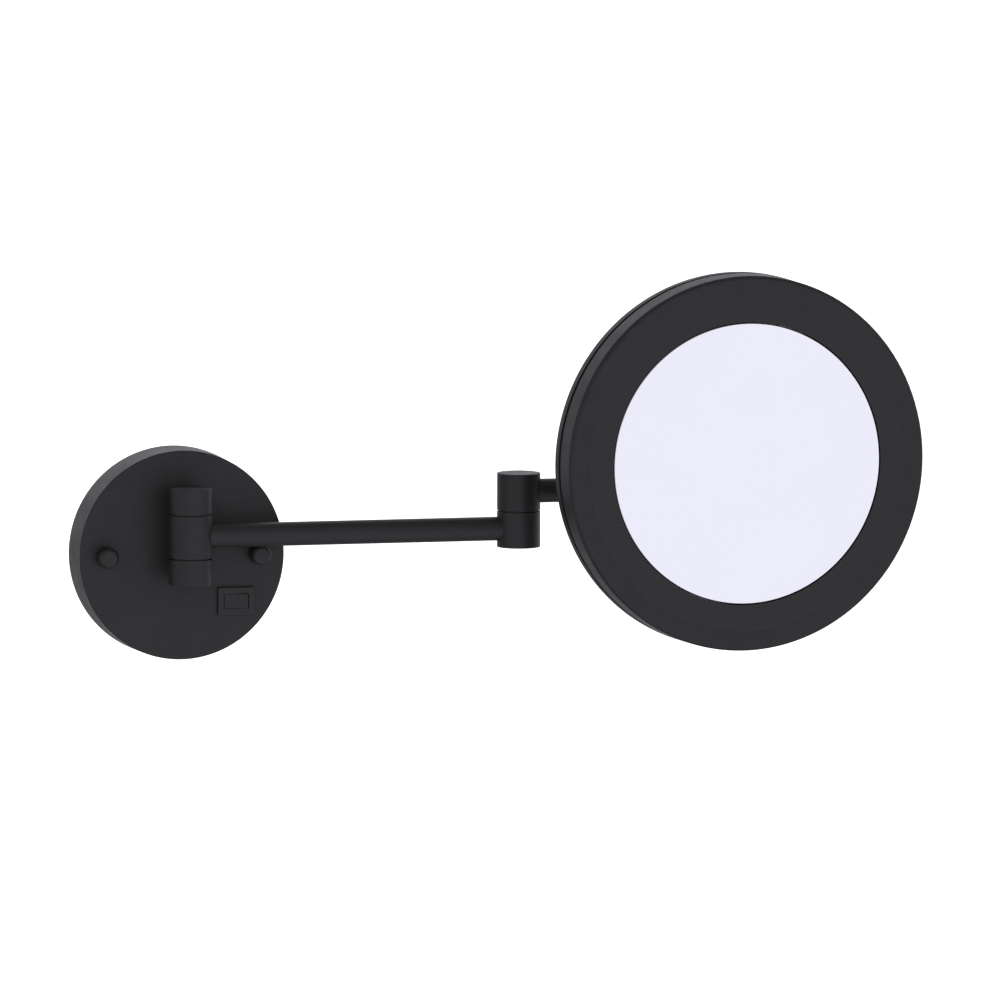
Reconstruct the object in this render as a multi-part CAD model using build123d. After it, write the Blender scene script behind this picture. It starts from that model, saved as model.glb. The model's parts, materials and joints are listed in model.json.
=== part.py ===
"""Wall-mounted, hard-wired, lighted shaving mirror on a folding arm.

Millimetres. +Z is up, +X runs along the arm, and the wall is the plane Y = 0 with the room on
the -Y side. The origin is the centre of the wall plate, on the wall. The head is drawn facing -Y
around its own centre, then swivelled and moved to its place at the end of the rod.
"""

import math
import os

from build123d import *

# ---- driving dimensions --------------------------------------------------------------------

GASKET_T = 1.0  # foam gasket on the wall
PLATE_R = 56.0  # wall plate cover, outside, at the wall
PLATE_FRONT = 25.0  # cover face, distance from the wall
PLATE_DRAFT = 0.3  # the cover's radius is this much smaller at its front
PLATE_EDGE = 0.8  # rounding of the cover's front edge
PLATE_WALL = 1.6
BRACKET_R = 50.0
BRACKET_T = 2.0
WALL_HOLE_R = 2.25
WALL_HOLE_SPACING = 60.3  # standard round wall box
STUD_R = 2.0
STUD_X = 41.55
CAP_NUT_R = 5.4
CAP_NUT_L = 9.6
CAP_NUT_EDGE = 2.4  # rounding of the front
GROMMET_BORE_R = 8.0
GROMMET_WALL_R = 10.0

SWITCH_X = 29.3
SWITCH_Z = -25.1
SWITCH_BEZEL = (20.0, 15.0)
SWITCH_RAISE = 2.0
SWITCH_BODY = (18.6, 12.8)
SWITCH_WELL = (13.8, 8.0)
SWITCH_BACK = 12.5  # depth of the switch body behind the cover's face
ROCKER_SIZE = (12.6, 7.6)
ROCKER_PIVOT = 1.6  # depth of the rocker's pivot behind the bezel's face
ROCKER_THROW = 14.0  # degrees from one pressed side to the other

TUBE_R = 6.35
TUBE_BORE_R = 5.15
LEAD_R = 1.6
BARREL_R = 11.5
BARREL_EDGE = 0.3
SEAM = 0.6  # washer thickness, which is the seam between two knuckles
WASHER_R = 10.2
PIN_R = 4.0
PIN_FIT = 0.05  # radial running clearance of a turning knuckle on its pin
PIN_HEAD_R = 6.5
PIN_HEAD_L = 4.0
PIN_SOCKET = 5.0  # across flats of the hex socket
TUBE_SOCKET = 3.0  # depth that a tube enters its knuckle
NECK_R = 6.0
NECK_THREAD_R = 4.0

BARREL_Y = -44.0  # axis of the first and second barrels, distance from the wall
ARM_Z = 12.2  # arm tube's axis
ARM_LENGTH = 179.0  # first barrel to second
END_KNUCKLE = 13.7  # top and bottom thirds of the first barrel
MID_KNUCKLE = 24.1  # middle third, with its seams
ELBOW_KNUCKLE = 19.7  # each half of the second and third barrels
ROD_LENGTH = 99.2  # second barrel to third

HEAD_YAW = 6.6  # degrees that the head is swivelled from the wall's normal
HEAD_R = 100.0
HEAD_TO_SWIVEL = 68.6  # from the head's rim plane back to the swivel axis
HEAD_TO_TILT = 36.2  # from the head's rim plane back to the tilt axis
FACE = 2.4  # face plane, in front of the rim plane; also the front edge's rounding
RIM_WALL = 1.8
RIM_DEPTH = 12.6  # front ring's side
SHADOW_GAP = 3.0
SHADOW_DEPTH = 2.1
BACK_DEPTH = 22.2  # back cover's flat, behind the rim plane
BACK_EDGE = 2.0
BEZEL_BORE_R = 89.55
DIFFUSER_R = 89.5
JOINT_DIP = 0.12  # the face sinks this much, softly, to the joint between bezel and diffuser
JOINT_HALF = 3.0  # width of that dip on each side of the joint
DIFFUSER_BORE_R = 75.4
GLASS_R = 75.0
GLASS_T = 3.0
GLASS_CURVE_R = 750.0  # concave, magnifies about three times
CARRIER_R = 90.0
CARRIER_Q = 8.4  # carrier plate's front, behind the rim plane
CARRIER_T = 1.5
RIM_SCREW_AT_R = 94.4
CARRIER_SCREW_AT_R = 60.0
LED_COUNT = 60
LED_RING_R = 82.0

# ---- places that follow from them ----------------------------------------------------------

ELBOW_X = ARM_LENGTH
SWIVEL_X = ARM_LENGTH + ROD_LENGTH
ROD_Z = ARM_Z + ELBOW_KNUCKLE
HEAD_Z = ROD_Z + ELBOW_KNUCKLE
YAW = math.radians(HEAD_YAW)
HEAD_X = SWIVEL_X + HEAD_TO_SWIVEL * math.sin(YAW)
HEAD_Y = BARREL_Y - HEAD_TO_SWIVEL * math.cos(YAW)
SHOULDER_TOP = ARM_Z + MID_KNUCKLE / 2 + END_KNUCKLE
SHOULDER_BOTTOM = ARM_Z - MID_KNUCKLE / 2 - END_KNUCKLE
UPPER_NECK_Z = SHOULDER_TOP - END_KNUCKLE / 2
LOWER_NECK_Z = SHOULDER_BOTTOM + END_KNUCKLE / 2
COVER_INSIDE = -(PLATE_FRONT - PLATE_WALL)


# ---- small helpers -------------------------------------------------------------------------


def rod_z(radius, low, high, x=0.0, y=0.0):
    """Upright cylinder between two heights."""
    return Pos(x, y, (low + high) / 2) * Cylinder(radius, high - low)


def rod_y(radius, low, high, x=0.0, z=0.0):
    """Cylinder along Y between two Y values."""
    return Pos(x, (low + high) / 2, z) * Rot(90, 0, 0) * Cylinder(radius, high - low)


def rod_x(radius, low, high, y=0.0, z=0.0):
    """Cylinder along X between two X values."""
    return Pos((low + high) / 2, y, z) * Rot(0, 90, 0) * Cylinder(radius, high - low)


def hex_y(across_flats, low, high, x=0.0, z=0.0):
    """Hexagonal prism along Y."""
    prism = extrude(RegularPolygon(across_flats / 2, 6, major_radius=False), high - low)
    return Pos(x, high, z) * Rot(90, 0, 0) * prism


def block(x_range, y_range, z_range):
    """Box given by its limits."""
    sides = [high - low for low, high in (x_range, y_range, z_range)]
    middle = [(low + high) / 2 for low, high in (x_range, y_range, z_range)]
    return Pos(*middle) * Box(*sides)


def turned(points):
    """Solid of revolution about Y, from a closed outline of (radius, y) points."""
    outline = [(radius, y) for radius, y in points]
    face = make_face(Polyline(*outline, close=True))
    return revolve(face, Axis.Y)


def ring_y(inner, outer, low, high):
    """Flat ring about Y."""
    return turned([(inner, low), (outer, low), (outer, high), (inner, high)])


def round_edges(shape, radius, y):
    """Rounds the circular edges of the largest radius in the plane of one Y value."""
    edges = shape.edges().filter_by(GeomType.CIRCLE)
    edges = [edge for edge in edges if abs(edge.center().Y - y) < 0.01]
    largest = max(edge.radius for edge in edges)
    return fillet([edge for edge in edges if edge.radius > largest - 0.01], radius)


def around(count, radius, start=0.0):
    """(x, z) of count places on a circle about Y."""
    for number in range(count):
        angle = math.radians(start + 360.0 * number / count)
        yield radius * math.cos(angle), radius * math.sin(angle)


def knuckle(low, high, x):
    """One barrel segment with softened rims, upright at (x, BARREL_Y)."""
    body = rod_z(BARREL_R, low, high)
    rims = body.edges().filter_by(GeomType.CIRCLE)
    return Pos(x, BARREL_Y, 0) * fillet(rims, BARREL_EDGE)


def pin(low, high, x):
    """Shoulder screw from below: plain shank, and a head with a hex socket."""
    shank = rod_z(PIN_R, low + PIN_HEAD_L, high)
    head = chamfer(rod_z(PIN_HEAD_R, low, low + PIN_HEAD_L).edges(), 0.4)
    socket = extrude(RegularPolygon(PIN_SOCKET / 2, 6, major_radius=False), 2.5)
    return Pos(x, BARREL_Y, 0) * (shank + head - Pos(0, 0, low) * socket)


def pin_recess(low, x):
    """Counterbore that takes a pin's head, open downwards."""
    return rod_z(PIN_HEAD_R + 0.1, low - 1, low + PIN_HEAD_L + 0.6, x, BARREL_Y)


def washer(low, x):
    """Friction washer that fills a seam."""
    disc = rod_z(WASHER_R, low, low + SEAM) - rod_z(PIN_R + 0.1, low - 1, low + SEAM + 1)
    return Pos(x, BARREL_Y, 0) * disc


def screw_y(x, z, head_y, length, shank_r, head_r, head_h):
    """Pan-head screw along Y, head towards the wall, with a cross recess."""
    head = rod_y(head_r, head_y - head_h, head_y, x, z)
    head = fillet(head.edges().filter_by(GeomType.CIRCLE).sort_by(Axis.Y)[-1], head_h * 0.45)
    shank = rod_y(shank_r, head_y - head_h - length, head_y - head_h, x, z)
    slot = 0.5 * shank_r
    long, short = head_r * 0.65, slot / 2
    recess = block((x - long, x + long), (head_y - head_h * 0.5, head_y + 1), (z - short, z + short))
    recess += block((x - short, x + short), (head_y - head_h * 0.5, head_y + 1), (z - long, z + long))
    return head + shank - recess


# ---- wall plate ----------------------------------------------------------------------------


def wall_gasket():
    return ring_y(PLATE_R - 4.5, PLATE_R - 0.6, -GASKET_T, 0)


def wall_bracket():
    disc = ring_y(GROMMET_WALL_R, BRACKET_R, -BRACKET_T, 0)
    for z in (-WALL_HOLE_SPACING / 2, WALL_HOLE_SPACING / 2):
        disc -= rod_y(WALL_HOLE_R, -BRACKET_T - 1, 1, 0, z)
    for x in (-STUD_X, STUD_X):
        disc -= rod_y(STUD_R, -BRACKET_T - 1, 1, x, 0)
    for x, z in DRIVER_SCREWS:
        disc -= rod_y(DRIVER_SCREW_R, -BRACKET_T - 1, 1, x, z)
    disc -= rod_y(EARTH_SCREW_R, -BRACKET_T - 1, 1, *EARTH_SCREW_AT)
    return disc


def bracket_studs():
    tip = -(PLATE_FRONT + 6.0)
    stud = rod_y(STUD_R, tip, 0)
    stud = chamfer(stud.edges().sort_by(Axis.Y)[0], 0.5)
    return [Pos(x, 0, 0) * stud for x in (-STUD_X, STUD_X)]


def plate_cover():
    back = -GASKET_T
    face_r = PLATE_R - PLATE_DRAFT
    shell = turned([(0, back), (PLATE_R, back), (face_r, -PLATE_FRONT), (0, -PLATE_FRONT)])
    shell = round_edges(shell, PLATE_EDGE, -PLATE_FRONT)
    wide, narrow = PLATE_R - PLATE_WALL, face_r - PLATE_WALL
    shell -= turned([(0, back + 1), (wide, back + 1), (narrow, COVER_INSIDE), (0, COVER_INSIDE)])
    for x in (-STUD_X, STUD_X):
        shell -= rod_y(STUD_R + 0.3, -PLATE_FRONT - 1, 0, x, 0)
    for z in (UPPER_NECK_Z, LOWER_NECK_Z):
        shell -= rod_y(NECK_THREAD_R, -PLATE_FRONT - 1, 0, 0, z)
    half_x, half_z = SWITCH_BODY[0] / 2, SWITCH_BODY[1] / 2
    shell -= block(
        (SWITCH_X - half_x, SWITCH_X + half_x),
        (-PLATE_FRONT - 1, 0),
        (SWITCH_Z - half_z, SWITCH_Z + half_z),
    )
    return shell


def cap_nuts():
    front = -PLATE_FRONT - CAP_NUT_L
    nut = rod_y(CAP_NUT_R, front, -PLATE_FRONT)
    nut = fillet(nut.edges().filter_by(GeomType.CIRCLE).sort_by(Axis.Y)[0], CAP_NUT_EDGE)
    nut -= rod_y(STUD_R, front + 2.5, -PLATE_FRONT + 1)
    return [Pos(x, 0, 0) * nut for x in (-STUD_X, STUD_X)]


def cable_grommet():
    outline = [
        (GROMMET_BORE_R, -BRACKET_T - 1.4),
        (GROMMET_WALL_R + 2.0, -BRACKET_T - 1.4),
        (GROMMET_WALL_R + 2.0, -BRACKET_T),
        (GROMMET_WALL_R, -BRACKET_T),
        (GROMMET_WALL_R, 0),
        (GROMMET_BORE_R, 0),
    ]
    return turned(outline)


# ---- electrics in the wall plate -----------------------------------------------------------

DRIVER_X = (-40.0, -8.0)
DRIVER_Z = (-33.0, -13.0)
DRIVER_Y = (-17.0, -BRACKET_T)
DRIVER_EAR = 2.0  # thickness of the ears
DRIVER_SCREW_R = 1.4
DRIVER_SCREWS = ((-34.0, -9.5), (-14.0, -36.5))
TERMINAL_X = (-36.0, -16.0)
TERMINAL_Z = (14.0, 28.0)
TERMINAL_Y = (-13.0, -BRACKET_T)
TERMINAL_POLES = 3
EARTH_SCREW_R = 1.9
EARTH_SCREW_AT = (24.0, 24.0)
DRIVER_LEAD_R = 1.6


def led_driver():
    case = block(DRIVER_X, DRIVER_Y, DRIVER_Z)
    case = fillet(case.edges().filter_by(Axis.Y), 2.0)
    front = case.faces().sort_by(Axis.Y)[0]
    case = chamfer(front.edges(), 0.8)
    ear_y = (-BRACKET_T - DRIVER_EAR, -BRACKET_T)
    for (x, z), inner in zip(DRIVER_SCREWS, (DRIVER_Z[1], DRIVER_Z[0])):
        reach = (min(z, inner), max(z, inner))
        case += block((x - 3.5, x + 3.5), ear_y, reach) + rod_y(3.5, *ear_y, x, z)
        case -= rod_y(DRIVER_SCREW_R, -BRACKET_T - DRIVER_EAR - 1, 1, x, z)
    return case


def driver_screws():
    length = DRIVER_EAR + BRACKET_T
    screw = rod_y(DRIVER_SCREW_R, -length, 0)
    head = rod_y(2.6, -length - 1.8, -length)
    head = fillet(head.edges().filter_by(GeomType.CIRCLE).sort_by(Axis.Y)[0], 0.8)
    recess = block((-1.6, 1.6), (-length - 2, -length - 0.9), (-0.3, 0.3))
    recess += block((-0.3, 0.3), (-length - 2, -length - 0.9), (-1.6, 1.6))
    return [Pos(x, 0, z) * (screw + head - recess) for x, z in DRIVER_SCREWS]


def terminal_places():
    """X of each pole's centre."""
    step = (TERMINAL_X[1] - TERMINAL_X[0]) / TERMINAL_POLES
    return [TERMINAL_X[0] + step * (pole + 0.5) for pole in range(TERMINAL_POLES)]


def terminal_block():
    body = block(TERMINAL_X, TERMINAL_Y, TERMINAL_Z)
    body = chamfer(body.edges().filter_by(Axis.X).sort_by(Axis.Y)[:2], 1.5)
    middle_z = (TERMINAL_Z[0] + TERMINAL_Z[1]) / 2
    for x in terminal_places():
        body -= rod_z(1.5, TERMINAL_Z[0] - 1, TERMINAL_Z[1] + 1, x, -6.5)
        for z in (middle_z - 3.5, middle_z + 3.5):
            body -= rod_y(1.5, TERMINAL_Y[0] - 1, -6.5, x, z)
    return body


def terminal_screws():
    middle_z = (TERMINAL_Z[0] + TERMINAL_Z[1]) / 2
    top = TERMINAL_Y[0] + 1.0
    screws = []
    for x in terminal_places():
        for z in (middle_z - 3.5, middle_z + 3.5):
            slot = block((x - 2, x + 2), (top - 1, top + 0.7), (z - 0.3, z + 0.3))
            screws.append(rod_y(1.5, top, top + 4.0, x, z) - slot)
    return screws


def earth_screw():
    x, z = EARTH_SCREW_AT
    face = -BRACKET_T
    shank = rod_y(EARTH_SCREW_R, face - 2.0, 0, x, z)
    ring = rod_y(4.2, face - 1.0, face, x, z)
    head = rod_y(3.6, face - 3.6, face - 1.0, x, z)
    slot = block((x - 4, x + 4), (face - 4, face - 2.7), (z - 0.4, z + 0.4))
    return shank + ring + head - slot


def driver_lead():
    """From the driver's end, over the backing plate, into the upper wall knuckle's bore."""
    x, y = -12.0, -8.0
    start = (x, y, DRIVER_Z[1])
    turn = (0.0, y, UPPER_NECK_Z)
    path = FilletPolyline(start, (x, y, 18.0), turn, (0.0, BARREL_Y + 12, UPPER_NECK_Z), radius=[12.0, 5.0])
    section = Plane(origin=start, z_dir=(0, 0, 1)) * Circle(DRIVER_LEAD_R)
    return sweep(section, path=path)


# ---- switch --------------------------------------------------------------------------------

ROCKER_PIVOT_Y = -PLATE_FRONT - SWITCH_RAISE + ROCKER_PIVOT
TERMINAL_BLADES = (-6.0, 0.0, 6.0)


def switch_housing():
    """Bezel and body in one moulding, with an open well for the rocker."""
    bezel_x, bezel_z = (size / 2 for size in SWITCH_BEZEL)
    body_x, body_z = (size / 2 for size in SWITCH_BODY)
    well_x, well_z = (size / 2 for size in SWITCH_WELL)
    front = -PLATE_FRONT - SWITCH_RAISE
    back = -PLATE_FRONT + SWITCH_BACK
    bezel = block((-bezel_x, bezel_x), (front, -PLATE_FRONT), (-bezel_z, bezel_z))
    bezel = fillet(bezel.edges().filter_by(Axis.Y), 0.8)
    bezel = fillet(bezel.faces().sort_by(Axis.Y)[0].edges(), 0.5)
    body = block((-body_x, body_x), (-PLATE_FRONT - 0.5, back), (-body_z, body_z))
    housing = bezel + body
    housing -= block((-well_x, well_x), (front - 1, back - 2.0), (-well_z, well_z))
    for x in TERMINAL_BLADES:
        housing -= block((x - 0.4, x + 0.4), (back - 3, back + 1), (-2.4, 2.4))
    stub = rod_z(1.0, -well_z - 1.0, -well_z + 0.2, 0, ROCKER_PIVOT_Y)
    stub += rod_z(1.0, well_z - 0.2, well_z + 1.0, 0, ROCKER_PIVOT_Y)
    return Pos(SWITCH_X, 0, SWITCH_Z) * (housing - stub)


def switch_rocker():
    """Two flat halves that meet in a shallow valley; the left half lies flush, the right one is up."""
    half_x, half_z = (size / 2 for size in ROCKER_SIZE)
    tilt = math.radians(ROCKER_THROW / 2)
    valley = -ROCKER_PIVOT / math.cos(tilt)
    side_y = valley - half_x * math.tan(tilt)
    end_r = math.hypot(half_x, side_y)
    keel_x, keel_y = half_x - 1.2, 4.0
    face_line = Polyline((-half_x, side_y), (0, valley), (half_x, side_y))
    right_end = ThreePointArc((half_x, side_y), (end_r, 0), (half_x, -side_y))
    left_end = ThreePointArc((-half_x, -side_y), (-end_r, 0), (-half_x, side_y))
    keel_line = Polyline((half_x, -side_y), (keel_x, keel_y), (-keel_x, keel_y), (-half_x, -side_y))
    outline = make_face([face_line, right_end, keel_line, left_end])
    rocker = Pos(0, 0, -half_z) * extrude(outline, 2 * half_z)
    reach = SWITCH_WELL[1] / 2 + 0.7
    rocker += rod_z(0.95, -reach, reach)
    return Pos(SWITCH_X, ROCKER_PIVOT_Y, SWITCH_Z) * Rot(0, 0, -ROCKER_THROW / 2) * rocker


def switch_terminals():
    back = -PLATE_FRONT + SWITCH_BACK
    blades = []
    for x in TERMINAL_BLADES:
        blade = block((x - 0.4, x + 0.4), (back - 1.9, back + 6.0), (-2.4, 2.4))
        blade -= rod_x(0.9, x - 1, x + 1, back + 4.0, 0)
        blades.append(Pos(SWITCH_X, 0, SWITCH_Z) * blade)
    return blades


# ---- first barrel --------------------------------------------------------------------------

BACKING_T = 2.0
NUT_T = 5.0


def backing_plate():
    low, high = LOWER_NECK_Z - 9, UPPER_NECK_Z + 9
    plate = block((-9.0, 9.0), (COVER_INSIDE, COVER_INSIDE + BACKING_T), (low, high))
    plate = fillet(plate.edges().filter_by(Axis.Y), 6.0)
    for z in (UPPER_NECK_Z, LOWER_NECK_Z):
        plate -= rod_y(NECK_THREAD_R, -PLATE_FRONT, 0, 0, z)
    return plate


def wall_knuckle(low, high, neck_z, bore):
    """Fixed barrel end: segment, round neck to the cover and a hollow threaded stub."""
    body = knuckle(low, high, 0)
    body += rod_y(NECK_R, -PLATE_FRONT - 12, -PLATE_FRONT, 0, neck_z)
    body += rod_y(NECK_THREAD_R, -PLATE_FRONT, COVER_INSIDE + BACKING_T + NUT_T + 0.6, 0, neck_z)
    body -= rod_y(LEAD_R + 0.4, BARREL_Y + 6, 0, 0, neck_z)
    return body - bore


def wall_knuckle_upper():
    low = ARM_Z + MID_KNUCKLE / 2
    bore = rod_z(PIN_R, low - 1, SHOULDER_TOP - 3, 0, BARREL_Y)
    return wall_knuckle(low, SHOULDER_TOP, UPPER_NECK_Z, bore)


def wall_knuckle_lower():
    high = ARM_Z - MID_KNUCKLE / 2
    bore = rod_z(PIN_R, SHOULDER_BOTTOM - 1, high + 1, 0, BARREL_Y)
    return wall_knuckle(SHOULDER_BOTTOM, high, LOWER_NECK_Z, bore + pin_recess(SHOULDER_BOTTOM, 0))


def knuckle_nuts():
    low = COVER_INSIDE + BACKING_T
    nuts = []
    for z in (UPPER_NECK_Z, LOWER_NECK_Z):
        nut = hex_y(13.0, low, low + NUT_T, 0, z)
        nuts.append(nut - rod_y(NECK_THREAD_R, low - 1, low + NUT_T + 1, 0, z))
    return nuts


def shoulder_pin():
    return pin(SHOULDER_BOTTOM + 0.6, SHOULDER_TOP - 3, 0)


def shoulder_washers():
    half = MID_KNUCKLE / 2
    return [washer(ARM_Z - half, 0), washer(ARM_Z + half - SEAM, 0)]


# ---- arm -----------------------------------------------------------------------------------


def tube_socket(x, z, outward):
    """Hole in a knuckle's side for a tube end; outward is +1 for +X, -1 for -X."""
    inner = BARREL_R - TUBE_SOCKET
    low, high = sorted((x + outward * inner, x + outward * (BARREL_R + 2)))
    return rod_x(TUBE_R, low, high, BARREL_Y, z)


def lead_way(x, z, outward):
    """Passage for the lead between the socket and the pin's bore."""
    low, high = sorted((x + outward * PIN_R, x + outward * BARREL_R))
    return rod_x(LEAD_R + 0.4, low, high, BARREL_Y, z)


def arm_knuckle():
    half = MID_KNUCKLE / 2
    body = knuckle(ARM_Z - half + SEAM, ARM_Z + half - SEAM, 0)
    body -= rod_z(PIN_R + PIN_FIT, ARM_Z - half - 1, ARM_Z + half + 1, 0, BARREL_Y)
    return body - tube_socket(0, ARM_Z, 1) - lead_way(0, ARM_Z, 1)


def side_tube(start_x, end_x, z):
    """Tube between two knuckles, its ends seated in their sockets."""
    low, high = start_x + BARREL_R - TUBE_SOCKET, end_x - BARREL_R + TUBE_SOCKET
    return rod_x(TUBE_R, low, high, BARREL_Y, z) - rod_x(TUBE_BORE_R, low - 1, high + 1, BARREL_Y, z)


def arm_tube():
    return side_tube(0, ELBOW_X, ARM_Z)


def side_lead(start_x, end_x, z):
    """Two-core lead, straight through a tube and into both knuckles."""
    reach = PIN_R + 0.6
    return rod_x(LEAD_R, start_x + reach, end_x - reach, BARREL_Y, z)


def lower_half(x, z):
    """Lower half of a two-part barrel, with the pin's head in its foot."""
    low, high = z - ELBOW_KNUCKLE / 2, z + ELBOW_KNUCKLE / 2 - SEAM
    body = knuckle(low, high, x)
    body -= rod_z(PIN_R, low - 1, high + 1, x, BARREL_Y)
    body -= pin_recess(low, x)
    return body - tube_socket(x, z, -1) - lead_way(x, z, -1)


def elbow_knuckle_lower():
    return lower_half(ELBOW_X, ARM_Z)


def elbow_pin():
    return pin(ARM_Z - ELBOW_KNUCKLE / 2 + 0.6, ROD_Z + ELBOW_KNUCKLE / 2 - 3.5, ELBOW_X)


def elbow_washer():
    return washer(ARM_Z + ELBOW_KNUCKLE / 2 - SEAM, ELBOW_X)


# ---- rod -----------------------------------------------------------------------------------


def upper_half(x, z):
    """Upper half of a two-part barrel, which turns on the pin; its top is closed."""
    low, high = z - ELBOW_KNUCKLE / 2, z + ELBOW_KNUCKLE / 2
    return knuckle(low, high, x) - rod_z(PIN_R + PIN_FIT, low - 1, high - 3, x, BARREL_Y)


def elbow_knuckle_upper():
    body = upper_half(ELBOW_X, ROD_Z)
    return body - tube_socket(ELBOW_X, ROD_Z, 1) - lead_way(ELBOW_X, ROD_Z, 1)


def rod_tube():
    return side_tube(ELBOW_X, SWIVEL_X, ROD_Z)


def swivel_knuckle_lower():
    return lower_half(SWIVEL_X, ROD_Z)


def swivel_pin():
    return pin(ROD_Z - ELBOW_KNUCKLE / 2 + 0.6, HEAD_Z + ELBOW_KNUCKLE / 2 - 3.5, SWIVEL_X)


def swivel_washer():
    return washer(ROD_Z + ELBOW_KNUCKLE / 2 - SEAM, SWIVEL_X)


# ---- head, drawn about its own centre facing -Y --------------------------------------------

TILT_BOLT_R = 2.5
TONGUE_T = 8.0
TONGUE_R = 8.0
TONGUE_NECK_R = 5.0
TILT_WASHER_T = 0.5
EAR_T = 4.0
EAR_R = 8.0
CLEVIS_BASE_R = 22.0
CLEVIS_BASE_T = 3.0
CLEVIS_SCREW_AT_R = 17.0
STIFFENER_R = 32.0
STIFFENER_T = 1.5
LEAD_HOLE_R = 3.6
BACK_T = 1.6
POST_R = 3.1
SCREW_R = 1.3


def head_place(shape):
    """Moves a piece drawn about the head's centre to its place on the arm."""
    return Pos(HEAD_X, HEAD_Y, HEAD_Z) * Rot(0, 0, HEAD_YAW) * shape


def swivel_knuckle_upper():
    """Turns on the swivel pin; a round neck carries the tilt tongue towards the head."""
    body = Pos(0, HEAD_TO_SWIVEL, 0) * Pos(-SWIVEL_X, -BARREL_Y, -HEAD_Z) * upper_half(SWIVEL_X, HEAD_Z)
    tongue = rod_x(TONGUE_R, -TONGUE_T / 2, TONGUE_T / 2, HEAD_TO_TILT, 0)
    neck_start = HEAD_TO_TILT + EAR_R + 1.0
    neck = rod_y(TONGUE_NECK_R, neck_start, HEAD_TO_SWIVEL - BARREL_R + 1)
    bridge = block(
        (-TONGUE_T / 2, TONGUE_T / 2),
        (HEAD_TO_TILT, neck_start + 1),
        (-TONGUE_NECK_R + 0.5, TONGUE_NECK_R - 0.5),
    )
    body += tongue + neck + bridge
    body -= rod_x(TILT_BOLT_R + PIN_FIT, -TONGUE_T, TONGUE_T, HEAD_TO_TILT, 0)
    return head_place(body)


def tilt_clevis():
    """Base disc with two ears that straddle the tongue."""
    base = rod_y(CLEVIS_BASE_R, BACK_DEPTH, BACK_DEPTH + CLEVIS_BASE_T)
    base = fillet(base.edges().filter_by(GeomType.CIRCLE).sort_by(Axis.Y)[-1], 1.0)
    inner = TONGUE_T / 2 + TILT_WASHER_T
    for side in (-1, 1):
        x_range = sorted((side * inner, side * (inner + EAR_T)))
        ear = rod_x(EAR_R, *x_range, HEAD_TO_TILT, 0)
        ear += block(x_range, (BACK_DEPTH + 1, HEAD_TO_TILT), (-EAR_R, EAR_R))
        base += ear
    base -= rod_x(TILT_BOLT_R, -20, 20, HEAD_TO_TILT, 0)
    for x, z in around(4, CLEVIS_SCREW_AT_R, 45):
        base -= rod_y(SCREW_R, BACK_DEPTH - 1, BACK_DEPTH + CLEVIS_BASE_T + 1, x, z)
    base -= rod_y(LEAD_HOLE_R, BACK_DEPTH - 1, BACK_DEPTH + CLEVIS_BASE_T + 1)
    return head_place(base)


def clevis_screws():
    head_y = BACK_DEPTH + CLEVIS_BASE_T + 1.8
    length = CLEVIS_BASE_T + BACK_T + STIFFENER_T
    return [
        head_place(screw_y(x, z, head_y, length, SCREW_R, 2.5, 1.8))
        for x, z in around(4, CLEVIS_SCREW_AT_R, 45)
    ]


def tilt_bolt():
    outside = TONGUE_T / 2 + TILT_WASHER_T + EAR_T
    bolt = rod_x(TILT_BOLT_R, -outside - 5.0, outside, HEAD_TO_TILT, 0)
    bolt = chamfer(bolt.edges().sort_by(Axis.X)[0], 0.4)
    head = rod_x(4.4, outside, outside + 3.2, HEAD_TO_TILT, 0)
    head = fillet(head.edges().filter_by(GeomType.CIRCLE).sort_by(Axis.X)[-1], 0.8)
    socket = extrude(RegularPolygon(1.5, 6, major_radius=False), 2.0)
    socket = Pos(outside + 1.8, HEAD_TO_TILT, 0) * Rot(0, 90, 0) * socket
    return head_place(bolt + head - socket)


def tilt_washers():
    inner = TONGUE_T / 2
    rings = []
    for side in (-1, 1):
        x_range = sorted((side * inner, side * (inner + TILT_WASHER_T)))
        ring = rod_x(6.6, *x_range, HEAD_TO_TILT, 0)
        rings.append(head_place(ring - rod_x(TILT_BOLT_R + 0.1, -9, 9, HEAD_TO_TILT, 0)))
    return rings


def tilt_nut():
    outside = TONGUE_T / 2 + TILT_WASHER_T + EAR_T
    nut = extrude(RegularPolygon(4.0, 6, major_radius=False), 4.2)
    nut = Pos(-outside - 4.2, HEAD_TO_TILT, 0) * Rot(0, 90, 0) * nut
    return head_place(nut - rod_x(TILT_BOLT_R, -30, 30, HEAD_TO_TILT, 0))


def stiffener_plate():
    front = BACK_DEPTH - BACK_T - STIFFENER_T
    plate = ring_y(LEAD_HOLE_R, STIFFENER_R, front, front + STIFFENER_T)
    for x, z in around(4, CLEVIS_SCREW_AT_R, 45):
        plate -= rod_y(SCREW_R, front - 1, front + STIFFENER_T + 1, x, z)
    return head_place(plate)


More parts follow.
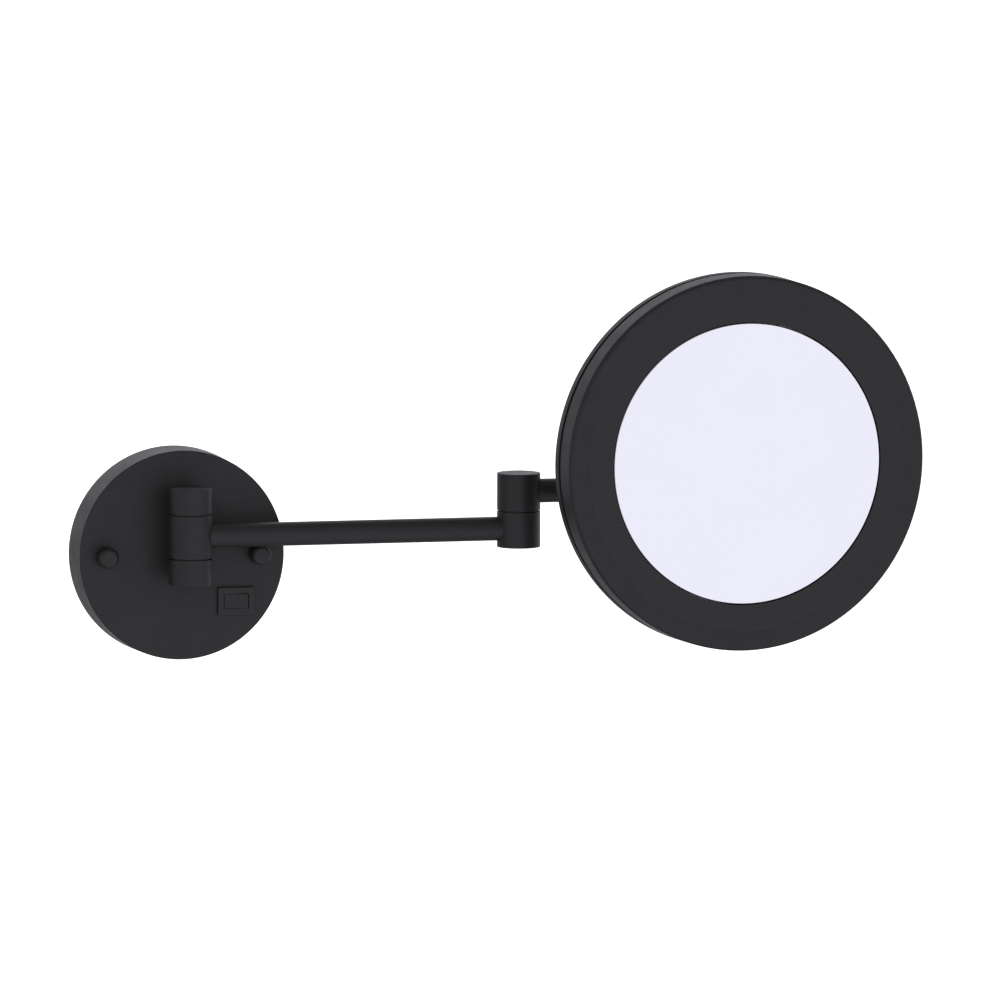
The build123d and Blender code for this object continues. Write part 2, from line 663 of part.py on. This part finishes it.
def back_cover():
    """Shallow dish: flat back, rim strip, and an inner spigot that makes the shadow gap's floor."""
    inside = BACK_DEPTH - BACK_T
    strip = RIM_DEPTH + SHADOW_GAP
    spigot_out = HEAD_R - SHADOW_DEPTH
    spigot_in = spigot_out - 1.6
    dish = turned(
        [
            (0, BACK_DEPTH),
            (HEAD_R, BACK_DEPTH),
            (HEAD_R, strip),
            (spigot_out, strip),
            (spigot_out, RIM_DEPTH - 1.2),
            (spigot_in, RIM_DEPTH - 1.2),
            (spigot_in, inside),
            (0, inside),
        ]
    )
    dish = round_edges(dish, BACK_EDGE, BACK_DEPTH)
    for x, z in around(4, RIM_SCREW_AT_R, 45):
        dish += rod_y(POST_R, RIM_DEPTH - 1.2, inside + 0.5, x, z)
        dish -= rod_y(SCREW_R, RIM_DEPTH - 2, BACK_DEPTH + 1, x, z)
        dish -= rod_y(2.8, BACK_DEPTH - 2.2, BACK_DEPTH + 1, x, z)
    for x, z in around(4, CARRIER_SCREW_AT_R, 0):
        dish += rod_y(POST_R, CARRIER_Q + CARRIER_T, inside + 0.5, x, z)
        dish -= rod_y(SCREW_R, CARRIER_Q, inside - 2.0, x, z)
    for x, z in around(4, CLEVIS_SCREW_AT_R, 45):
        dish -= rod_y(SCREW_R, inside - 1, BACK_DEPTH + 1, x, z)
    dish -= rod_y(LEAD_HOLE_R, inside - 1, BACK_DEPTH + 1)
    return head_place(dish)


def dip(side):
    """Soft cut along the joint; side is -1 for the diffuser's edge, 1 for the bezel's."""
    edge_r = DIFFUSER_R if side < 0 else BEZEL_BORE_R
    flat_r = edge_r + side * JOINT_HALF
    sink = -FACE + JOINT_DIP
    slope = ThreePointArc((flat_r, -FACE), ((flat_r + edge_r) / 2, -FACE + JOINT_DIP / 4), (edge_r, sink))
    past_r = edge_r - side * 1.0
    above = -FACE - 1.0
    away = Polyline((edge_r, sink), (past_r, sink), (past_r, above), (flat_r, above), (flat_r, -FACE))
    return revolve(make_face([slope, away]), Axis.Y)


def front_ring():
    """Bezel: front lip, side wall and four posts for the rim screws."""
    lip_back = -FACE + 1.7
    wall_in = HEAD_R - RIM_WALL
    ring = turned(
        [
            (BEZEL_BORE_R, -FACE),
            (HEAD_R, -FACE),
            (HEAD_R, RIM_DEPTH),
            (wall_in, RIM_DEPTH),
            (wall_in, lip_back),
            (BEZEL_BORE_R, lip_back),
        ]
    )
    ring = round_edges(ring, FACE, -FACE) - dip(1)
    for x, z in around(4, RIM_SCREW_AT_R, 45):
        ring += rod_y(POST_R, lip_back - 0.3, RIM_DEPTH - 1.2, x, z)
        ring -= rod_y(SCREW_R, 1.0, RIM_DEPTH, x, z)
    return head_place(ring)


def rim_screws():
    head_y = BACK_DEPTH - 0.4
    length = head_y - 1.8 - 2.0
    return [
        head_place(screw_y(x, z, head_y, length, SCREW_R, 2.5, 1.8))
        for x, z in around(4, RIM_SCREW_AT_R, 45)
    ]


def diffuser_ring():
    """Smoked acrylic: a thick ring in the bezel's bore, with a flange behind the bezel's lip."""
    lip_back = -FACE + 1.7
    ring = turned(
        [
            (DIFFUSER_BORE_R, -FACE),
            (DIFFUSER_R, -FACE),
            (DIFFUSER_R, lip_back),
            (BEZEL_BORE_R + 1.4, lip_back),
            (BEZEL_BORE_R + 1.4, lip_back + 2.0),
            (DIFFUSER_BORE_R, lip_back + 2.0),
        ]
    )
    return head_place(ring - dip(-1))


def glass_sag(radius):
    """Depth of the concave front at a radius, measured from the glass's edge plane."""
    edge = math.sqrt(GLASS_CURVE_R**2 - GLASS_R**2)
    return math.sqrt(GLASS_CURVE_R**2 - radius**2) - edge


def mirror_glass():
    """Concave glass of even thickness with a ground edge."""
    front = -FACE
    half = GLASS_R / 2
    places = (0, half, GLASS_R - 0.5)
    front_arc = ThreePointArc(*((radius, front + glass_sag(radius)) for radius in places))
    back_arc = ThreePointArc(*((radius, front + GLASS_T + glass_sag(radius)) for radius in reversed(places)))
    rim = Polyline(front_arc @ 1, (GLASS_R, front + 0.5), (GLASS_R, front + GLASS_T - 0.5), back_arc @ 0)
    axis_line = Line(back_arc @ 1, front_arc @ 0)
    return head_place(revolve(make_face([front_arc, rim, back_arc, axis_line]), Axis.Y))


PAD_IN, PAD_OUT = 63.5, 73.0


def glass_pad():
    """Foam ring that beds the glass on the carrier, shaped to the back of the glass."""
    back = -FACE + GLASS_T + 0.05
    middle = (PAD_IN + PAD_OUT) / 2
    top = ThreePointArc(*((r, back + glass_sag(r)) for r in (PAD_IN, middle, PAD_OUT)))
    sides = Polyline(top @ 1, (PAD_OUT, CARRIER_Q), (PAD_IN, CARRIER_Q), top @ 0)
    return head_place(revolve(make_face([top, sides]), Axis.Y))


LEAD_ANGLE = 24.0  # degrees that the head's lead runs off straight down
LEAD_END = (
    -LED_RING_R * math.sin(math.radians(LEAD_ANGLE)),
    -LED_RING_R * math.cos(math.radians(LEAD_ANGLE)),
)


def carrier_plate():
    plate = rod_y(CARRIER_R, CARRIER_Q, CARRIER_Q + CARRIER_T)
    for x, z in around(4, CARRIER_SCREW_AT_R, 0):
        plate -= rod_y(SCREW_R, 0, BACK_DEPTH, x, z)
    plate -= rod_y(LEAD_HOLE_R, 0, BACK_DEPTH, *LEAD_END)
    for x, z in around(6, 38.0, 30):
        plate -= rod_y(9.0, 0, BACK_DEPTH, x, z)
    return head_place(plate)


def carrier_screws():
    screws = []
    for x, z in around(4, CARRIER_SCREW_AT_R, 0):
        screw = screw_y(x, -z, -(CARRIER_Q - 1.2), 6.0, SCREW_R, 2.4, 1.2)
        screws.append(head_place(Rot(180, 0, 0) * screw))
    return screws


BOARD_T = 1.0
BOARD_RINGS = (77.0, 87.0)


def led_board():
    board = ring_y(*BOARD_RINGS, CARRIER_Q - BOARD_T, CARRIER_Q)
    return head_place(board - rod_y(1.0, 0, BACK_DEPTH, *LEAD_END))


def leds():
    top = CARRIER_Q - BOARD_T
    chips = []
    over_lead = round((90 + LEAD_ANGLE) / 360 * LED_COUNT)
    for number in range(LED_COUNT):
        if number == over_lead:
            continue
        chip = block((-1.4, 1.4), (top - 0.8, top), (-1.75, 1.75))
        chips.append(head_place(Rot(0, 360.0 * number / LED_COUNT, 0) * Pos(LED_RING_R, 0, 0) * chip))
    return chips


def head_lead():
    """From the centre hole, along the back, to the LED board."""
    start = (0.0, BACK_DEPTH + 1.5, 0.0)
    turn_y = (CARRIER_Q + CARRIER_T + BACK_DEPTH - BACK_T) / 2
    end = (0.0, CARRIER_Q, -LED_RING_R)
    path = FilletPolyline(start, (0.0, turn_y, 0.0), (0.0, turn_y, -LED_RING_R), end, radius=[3.4, 3.4])
    section = Plane(origin=start, z_dir=(0, -1, 0)) * Circle(LEAD_R)
    return head_place(Rot(0, LEAD_ANGLE, 0) * sweep(section, path=path))


# ---- all nodes -----------------------------------------------------------------------------

NODES = {
    "wall_gasket": wall_gasket,
    "wall_bracket": wall_bracket,
    "bracket_studs": bracket_studs,
    "plate_cover": plate_cover,
    "cap_nuts": cap_nuts,
    "cable_grommet": cable_grommet,
    "led_driver": led_driver,
    "driver_screws": driver_screws,
    "driver_lead": driver_lead,
    "terminal_block": terminal_block,
    "terminal_screws": terminal_screws,
    "earth_screw": earth_screw,
    "switch_housing": switch_housing,
    "switch_rocker": switch_rocker,
    "switch_terminals": switch_terminals,
    "backing_plate": backing_plate,
    "wall_knuckle_upper": wall_knuckle_upper,
    "wall_knuckle_lower": wall_knuckle_lower,
    "knuckle_nuts": knuckle_nuts,
    "shoulder_pin": shoulder_pin,
    "shoulder_washers": shoulder_washers,
    "arm_knuckle": arm_knuckle,
    "arm_tube": arm_tube,
    "arm_lead": lambda: side_lead(0, ELBOW_X, ARM_Z),
    "elbow_knuckle_lower": elbow_knuckle_lower,
    "elbow_pin": elbow_pin,
    "elbow_washer": elbow_washer,
    "elbow_knuckle_upper": elbow_knuckle_upper,
    "rod_tube": rod_tube,
    "rod_lead": lambda: side_lead(ELBOW_X, SWIVEL_X, ROD_Z),
    "swivel_knuckle_lower": swivel_knuckle_lower,
    "swivel_pin": swivel_pin,
    "swivel_washer": swivel_washer,
    "swivel_knuckle_upper": swivel_knuckle_upper,
    "tilt_clevis": tilt_clevis,
    "clevis_screws": clevis_screws,
    "tilt_bolt": tilt_bolt,
    "tilt_washers": tilt_washers,
    "tilt_nut": tilt_nut,
    "stiffener_plate": stiffener_plate,
    "back_cover": back_cover,
    "front_ring": front_ring,
    "rim_screws": rim_screws,
    "diffuser_ring": diffuser_ring,
    "mirror_glass": mirror_glass,
    "glass_pad": glass_pad,
    "carrier_plate": carrier_plate,
    "carrier_screws": carrier_screws,
    "led_board": led_board,
    "leds": leds,
    "head_lead": head_lead,
}


def main():
    os.makedirs("parts", exist_ok=True)
    for name, make in NODES.items():
        shape = make()
        if isinstance(shape, list):
            shape = Compound(children=shape)
        export_step(shape, f"parts/{name}.step")


main()
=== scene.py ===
"""Looks of the wall-mounted shaving mirror: its finishes, a white studio and the camera."""

import json
import math

import bpy
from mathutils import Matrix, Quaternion, Vector

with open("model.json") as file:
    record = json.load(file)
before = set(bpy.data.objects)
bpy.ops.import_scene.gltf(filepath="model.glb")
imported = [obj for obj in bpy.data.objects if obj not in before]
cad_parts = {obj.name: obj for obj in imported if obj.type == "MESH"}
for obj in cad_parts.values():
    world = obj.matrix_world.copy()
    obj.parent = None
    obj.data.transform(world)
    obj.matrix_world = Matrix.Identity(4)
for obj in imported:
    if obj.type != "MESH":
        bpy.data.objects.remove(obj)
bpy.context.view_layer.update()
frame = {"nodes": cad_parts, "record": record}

# ---- camera --------------------------------------------------------------------------------

CAMERA_AZIMUTH = math.radians(-13.75)  # to the left of the wall's normal
CAMERA_ELEVATION = math.radians(6.35)
CAMERA_ROLL = math.radians(0.13)  # the arm's far end hangs a hair lower in the frame
CAMERA_DISTANCE = 3.0
CAMERA_REACH = 100.0
VIEW_HEIGHT = 0.5306  # metres across the frame's long side
AIM_RIGHT = 0.17444  # from the wall plate's centre to the frame's centre, in the picture plane
AIM_UP = 0.02668


def make_camera():
    """Parallel view from the left, slightly above; the frame's centre is off the wall plate."""
    sin_a, cos_a = math.sin(CAMERA_AZIMUTH), math.cos(CAMERA_AZIMUTH)
    sin_e, cos_e = math.sin(CAMERA_ELEVATION), math.cos(CAMERA_ELEVATION)
    back = Vector((sin_a * cos_e, -cos_a * cos_e, sin_e))
    right = Vector((cos_a, sin_a, 0.0))
    up = back.cross(right)
    camera = bpy.data.objects.new("camera", bpy.data.cameras.new("camera"))
    bpy.context.scene.collection.objects.link(camera)
    camera.data.type = "ORTHO"
    camera.data.ortho_scale = VIEW_HEIGHT
    camera.data.clip_end = CAMERA_REACH
    camera.rotation_mode = "QUATERNION"
    camera.rotation_quaternion = Quaternion(back, CAMERA_ROLL) @ back.to_track_quat("Z", "Y")
    camera.location = right * AIM_RIGHT + up * AIM_UP + back * CAMERA_DISTANCE
    bpy.context.scene.camera = camera


# ---- node helpers --------------------------------------------------------------------------

NOISE_ROUGHNESS = 0.55
NOISE_LOW, NOISE_HIGH = 0.3, 0.7  # a noise's values lie mostly between these
MIX_FACTOR, MIX_FIRST, MIX_SECOND, MIX_RESULT = 0, 6, 7, 2  # a colour Mix node's socket numbers


class Nodes:
    """The node tree of a material or a world."""

    def __init__(self, owner):
        owner.use_nodes = True
        self.tree = owner.node_tree

    def node(self, kind, inputs, **settings):
        """Adds a node; inputs are its sockets' values or sources, settings its properties."""
        made = self.tree.nodes.new(kind)
        for name, value in settings.items():
            setattr(made, name, value)
        for socket, value in inputs.items():
            if isinstance(value, bpy.types.NodeSocket):
                self.tree.links.new(value, made.inputs[socket])
            else:
                made.inputs[socket].default_value = value
        return made


class Finish(Nodes):
    """One material with a Principled shader, in the part's own coordinates (metres)."""

    def __init__(self, name, **constants):
        self.material = bpy.data.materials.new(name)
        super().__init__(self.material)
        self.shader = self.tree.nodes["Principled BSDF"]
        self.place = self.node("ShaderNodeTexCoord", {}).outputs["Object"]
        for socket, value in constants.items():
            self.shader.inputs[socket.replace("_", " ")].default_value = value

    def noise(self, size, detail):
        """Noise whose features are about size metres across."""
        inputs = {"Vector": self.place, "Scale": 1.0 / size, "Detail": detail}
        inputs["Roughness"] = NOISE_ROUGHNESS
        return self.node("ShaderNodeTexNoise", inputs).outputs["Fac"]

    def drift(self, size, detail, low, high):
        """Value that wanders between low and high."""
        inputs = {"Value": self.noise(size, detail), "To Min": low, "To Max": high}
        inputs |= {"From Min": NOISE_LOW, "From Max": NOISE_HIGH}
        return self.node("ShaderNodeMapRange", inputs).outputs["Result"]

    def clouds(self, size, detail, tones):
        """Base colour that wanders between two tones."""
        factor = self.drift(size, detail, 0.0, 1.0)
        inputs = {MIX_FACTOR: factor, MIX_FIRST: tones[0], MIX_SECOND: tones[1]}
        tone = self.node("ShaderNodeMix", inputs, data_type="RGBA").outputs[MIX_RESULT]
        self.tree.links.new(tone, self.shader.inputs["Base Color"])

    def sheen(self, size, detail, between):
        """Roughness that wanders between two values."""
        self.tree.links.new(self.drift(size, detail, *between), self.shader.inputs["Roughness"])

    def relief(self, size, detail, height, strength=1.0):
        """Bumps about size metres across; several calls stack."""
        normal = self.shader.inputs["Normal"]
        inputs = {"Height": self.noise(size, detail), "Distance": height, "Strength": strength}
        if normal.is_linked:
            inputs["Normal"] = normal.links[0].from_socket
        self.tree.links.new(self.node("ShaderNodeBump", inputs).outputs["Normal"], normal)


def grey(value, blue=1.0):
    return (value, value, value * blue, 1.0)


# ---- finishes ------------------------------------------------------------------------------

MATT_SPECULAR = 0.3  # the black finishes shine less than a bare plastic does
PLAIN_SHADE = 0.88  # a plain finish's darker tone, as a share of its own
PLAIN_SHEEN = 0.06  # how far a plain finish's roughness wanders, each way


def powder_coat():
    """Matt black powder coat: fine orange peel, slight cloudiness, faint bluish black."""
    coat = Finish("black_powder_coat", Specular_IOR_Level=MATT_SPECULAR)
    coat.clouds(size=0.030, detail=4.0, tones=(grey(0.0120, 1.04), grey(0.0140, 1.04)))
    coat.sheen(size=0.012, detail=5.0, between=(0.44, 0.52))
    coat.relief(size=0.0011, detail=3.0, height=0.000012, strength=0.8)
    coat.relief(size=0.00028, detail=2.0, height=0.000004, strength=0.7)
    return coat.material


def plain(name, tone, roughness, metallic=0.0, grain=0.0004, relief=0.000004):
    """Simple finish with grain, for the pieces that mostly hide inside."""
    made = Finish(name, Metallic=metallic)
    darker = tuple(channel * PLAIN_SHADE for channel in tone[:3]) + (1.0,)
    between = (roughness - PLAIN_SHEEN, roughness + PLAIN_SHEEN)
    made.clouds(size=grain * 20, detail=4.0, tones=(darker, tone))
    made.sheen(size=grain * 8, detail=4.0, between=between)
    made.relief(size=grain, detail=3.0, height=relief)
    return made.material


def black_moulding(name, grain, relief=0.000006):
    """Spark-eroded or satin black plastic, as dark as the powder coat around it."""
    made = Finish(name, Specular_IOR_Level=MATT_SPECULAR)
    made.clouds(size=grain * 15, detail=3.0, tones=(grey(0.0125, 1.03), grey(0.0145, 1.03)))
    made.sheen(size=grain * 7, detail=4.0, between=(0.44, 0.50))
    made.relief(size=grain, detail=2.0, height=relief, strength=0.8)
    return made.material


def silvered_glass():
    """First-quality mirror: a cool silver with hardly any haze."""
    glass = Finish("silvered_glass", Metallic=1.0)
    silver = ((0.780, 0.779, 0.832, 1.0), (0.784, 0.783, 0.836, 1.0))
    glass.clouds(size=0.04, detail=2.0, tones=silver)
    glass.sheen(size=0.02, detail=3.0, between=(0.010, 0.016))
    return glass.material


FINISHES = {
    "black_paint": powder_coat,
    "black_plastic": lambda: black_moulding("black_moulding", 0.0005),
    "rocker_plastic": lambda: black_moulding("rocker_moulding", 0.0004),
    "zinc_steel": lambda: plain("zinc_plate", grey(0.62, 1.02), 0.3, 1.0),
    "black_steel": lambda: plain("black_oxide", grey(0.045, 1.05), 0.38, 1.0),
    "washer_nylon": lambda: plain("black_nylon", grey(0.006), 0.5),
    "foam": lambda: plain("closed_cell_foam", grey(0.03), 0.9, grain=0.0006, relief=0.00006),
    "rubber": lambda: plain("moulded_rubber", grey(0.02), 0.7),
    "driver_plastic": lambda: plain("white_case", grey(0.72, 0.96), 0.45),
    "terminal_plastic": lambda: plain("natural_nylon", (0.74, 0.72, 0.62, 1.0), 0.4),
    "brass": lambda: plain("brass", (0.78, 0.57, 0.27, 1.0), 0.28, 1.0),
    "lead_sleeve": lambda: plain("lead_sleeve", grey(0.6, 0.97), 0.5),
    "aluminium": lambda: plain("mill_aluminium", grey(0.72, 1.02), 0.35, 1.0),
    "board": lambda: plain("solder_mask", grey(0.8, 0.98), 0.35),
    "led": lambda: plain("phosphor", (0.9, 0.78, 0.25, 1.0), 0.3),
    "smoked_acrylic": lambda: black_moulding("smoked_satin_acrylic", 0.0008, 0.000003),
    "mirror_glass": silvered_glass,
}


def mend_shading(piece, tolerance=0.99):
    """At the middle of the glass some corners have a stray normal: they take their face's own."""
    mesh = piece.data
    normals = [corner.vector.copy() for corner in mesh.corner_normals]
    for face in mesh.polygons:
        for corner in face.loop_indices:
            if normals[corner].dot(face.normal) < tolerance:
                normals[corner] = face.normal.copy()
    mesh.normals_split_custom_set(normals)


def finish_nodes():
    """Gives every CAD node the finish of its slot."""
    made = {}
    slots = {part["node"]: part["material_slot"] for part in frame["record"]["subparts"]}
    for node, piece in frame["nodes"].items():
        slot = slots[node]
        if slot not in made:
            made[slot] = FINISHES[slot]()
        piece.data.materials.clear()
        piece.data.materials.append(made[slot])
    mend_shading(frame["nodes"]["mirror_glass"])


# ---- studio --------------------------------------------------------------------------------

FLOOR_DROP = 0.45  # below the wall plate's centre
FLOOR_SIZE = 12.0

# Soft boxes around the object: azimuth and elevation of each, and its radiance. Azimuth 0 is the
# room's side (-Y), 90 is +X. The key comes from the front, low on the right; behind and below on
# the left it stays dim, so that edges turn dark there.
SOFT_BOXES = {
    "key": (30, -10, 0.95),
    "low front": (0, -45, 1.05),
    "high front": (0, 45, 0.60),
    "front left": (-40, 0, 0.59),
    "left": (-90, 0, 0.70),
    "right": (90, 0, 0.65),
    "back left": (-150, 0, 0.30),
    "back right": (150, 0, 1.27),
    "back high": (180, 40, 0.72),
    "under": (0, -90, 0.24),
}
BOX_SHARPNESS = 4.0  # each box fades as this power of the cosine from its middle
BRIGHTEST = 1.08  # plateau around the key, which is what the glass mirrors
LIGHT_TINT = (1.0, 0.99, 1.06, 1.0)
BACKDROP_WHITE = (1.0, 1.0, 1.0, 1.0)
BACKDROP_STRENGTH = 1.1


def make_floor():
    """Plain pale floor. It shows to the camera only: the soft boxes light the object from below."""
    bpy.ops.mesh.primitive_plane_add(size=FLOOR_SIZE, location=(0, 0, -FLOOR_DROP))
    floor = bpy.context.object
    floor.name = "floor"
    pale = Finish("pale_floor", Roughness=0.9, Emission_Strength=BACKDROP_STRENGTH)
    pale.shader.inputs["Emission Color"].default_value = BACKDROP_WHITE
    pale.clouds(size=0.5, detail=2.0, tones=(grey(0.60), grey(0.62)))
    floor.data.materials.append(pale.material)
    floor.visible_diffuse = False
    floor.visible_glossy = False
    floor.visible_shadow = False


def towards(azimuth, elevation):
    """Unit vector from the object."""
    a, e = math.radians(azimuth), math.radians(elevation)
    return Vector((math.sin(a) * math.cos(e), -math.cos(a) * math.cos(e), math.sin(e)))


class Sky(Nodes):
    """The world's nodes, with soft boxes worked out from a ray's direction."""

    def __init__(self, world):
        super().__init__(world)
        self.direction = self.node("ShaderNodeTexCoord", {}).outputs["Generated"]

    def maths(self, operation, first, second):
        made = self.node("ShaderNodeMath", {0: first, 1: second}, operation=operation)
        return made.outputs["Value"]

    def soft_box(self, azimuth, elevation, radiance):
        inputs = {0: self.direction, 1: towards(azimuth, elevation)}
        cosine = self.node("ShaderNodeVectorMath", inputs, operation="DOT_PRODUCT")
        facing = self.maths("MAXIMUM", cosine.outputs["Value"], 0.0)
        return self.maths("MULTIPLY", self.maths("POWER", facing, BOX_SHARPNESS), radiance)


def make_world():
    """Soft boxes for the light, and a plain white backdrop behind the object."""
    world = bpy.data.worlds.new("studio")
    bpy.context.scene.world = world
    sky = Sky(world)
    total = 0.0
    for box in SOFT_BOXES.values():
        total = sky.maths("ADD", sky.soft_box(*box), total)
    light = sky.tree.nodes["Background"]
    light.inputs["Color"].default_value = LIGHT_TINT
    sky.tree.links.new(sky.maths("MINIMUM", total, BRIGHTEST), light.inputs["Strength"])
    white = {"Color": BACKDROP_WHITE, "Strength": BACKDROP_STRENGTH}
    backdrop = sky.node("ShaderNodeBackground", white)
    seen = sky.node("ShaderNodeLightPath", {}).outputs["Is Camera Ray"]
    inputs = {"Fac": seen, 1: light.outputs["Background"], 2: backdrop.outputs["Background"]}
    both = sky.node("ShaderNodeMixShader", inputs)
    sky.tree.links.new(both.outputs["Shader"], sky.tree.nodes["World Output"].inputs["Surface"])


finish_nodes()
make_floor()
make_world()
make_camera()
bpy.context.scene.view_settings.view_transform = "Standard"
